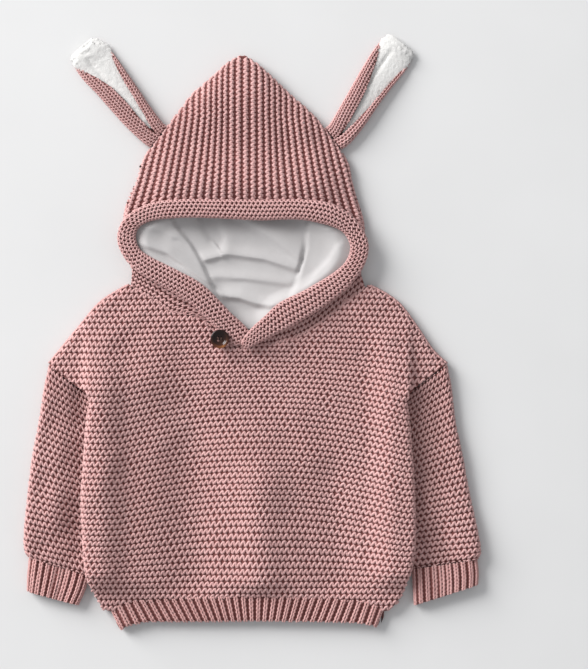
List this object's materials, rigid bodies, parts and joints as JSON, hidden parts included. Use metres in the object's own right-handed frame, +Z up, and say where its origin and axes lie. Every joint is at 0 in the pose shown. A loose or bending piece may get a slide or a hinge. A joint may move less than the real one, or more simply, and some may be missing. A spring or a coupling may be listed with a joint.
{
  "type": "knit sweater",
  "caption": "Baby's hooded pullover in chunky garter stitch, laid flat on its back, with dropped shoulders, ribbed hem and cuffs, a fleece-lined pointed hood, long ears and a buttoned V neck.",
  "frame": {"origin": "middle of the back panel's underside, on the surface that the garment lies on", "axes": "+Y towards the hood's peak, +X to the right of someone who looks down at the front, +Z up from the surface"},
  "size_m": [0.42, 0.5436, 0.0243],
  "materials": {
    "rose_knit": "matte chunky yarn in garter stitch, dusty rose",
    "rose_rib": "matte yarn in rib, dusty rose",
    "white_fleece": "smooth white fleece with a short nap",
    "white_plush": "white plush",
    "brown_horn": "glossy dark brown with an amber rim"
  },
  "bodies": {
    "root": {"front": "rose_knit", "back": "rose_knit", "hem_front": "rose_rib", "hem_back": "rose_rib", "sleeve_left": "rose_knit", "sleeve_right": "rose_knit", "cuff_left": "rose_rib", "cuff_right": "rose_rib", "hood": "rose_knit", "hood_neck_left": "rose_knit", "hood_neck_right": "rose_knit", "hood_band": "rose_knit", "hood_lining": "white_fleece", "ear_left": "rose_knit", "ear_right": "rose_knit", "ear_plush_left": "white_plush", "ear_plush_right": "white_plush", "button": "brown_horn"}
  },
  "joints": []
}
